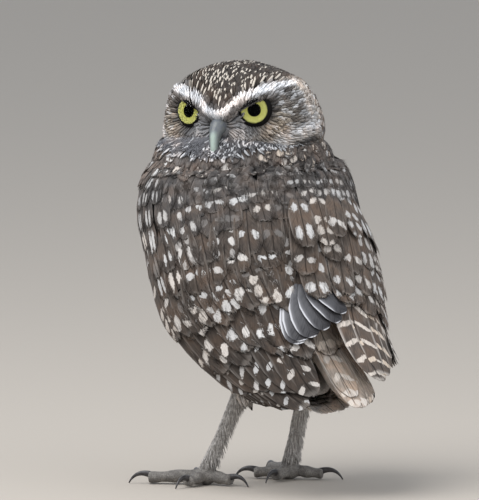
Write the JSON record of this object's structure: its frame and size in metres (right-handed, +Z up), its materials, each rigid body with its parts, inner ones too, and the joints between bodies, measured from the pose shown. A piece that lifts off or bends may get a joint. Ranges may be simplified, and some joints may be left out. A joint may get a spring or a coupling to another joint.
{
  "type": "burrowing owl, still life-size model",
  "caption": "Life-size standing burrowing owl with folded wings and long bare-looking legs, looking back over its left shoulder.",
  "frame": {"origin": "on the floor, under the middle of the model's box", "axes": "+Z up; the breast faces -Y and the bird's left side is +X; the head is turned towards +X and +Y"},
  "size_m": [0.1218, 0.138, 0.2113],
  "materials": {
    "plumage": "brown body feathers with off-white spots, matte",
    "head_plumage": "short brown and whitish feathers, matte",
    "wing_feathers": "brown vanes with off-white spots and buff bars, matte",
    "tail_feathers": "brown vanes with buff bars and white tips, matte",
    "leg_plumage": "short whitish bristly feathering, matte",
    "toe_skin": "grey-brown scaled skin with sparse bristles",
    "claw": "dark horn, satin",
    "bill": "pale greenish-grey horn, satin",
    "eye": "yellow iris and black pupil under a clear wet surface"
  },
  "bodies": {
    "root": {"head": "head_plumage", "neck": "plumage", "torso": "plumage", "eye_left": "eye", "eye_right": "eye", "bill_upper": "bill", "bill_lower": "bill", "wing_left": "wing_feathers", "wing_right": "wing_feathers", "tail": "tail_feathers", "shin_left": "leg_plumage", "shank_left": "leg_plumage", "foot_left": "toe_skin", "claw_left_hind": "claw", "claw_left_inner": "claw", "claw_left_middle": "claw", "claw_left_outer": "claw", "shin_right": "leg_plumage", "shank_right": "leg_plumage", "foot_right": "toe_skin", "claw_right_hind": "claw", "claw_right_inner": "claw", "claw_right_middle": "claw", "claw_right_outer": "claw"}
  },
  "joints": []
}
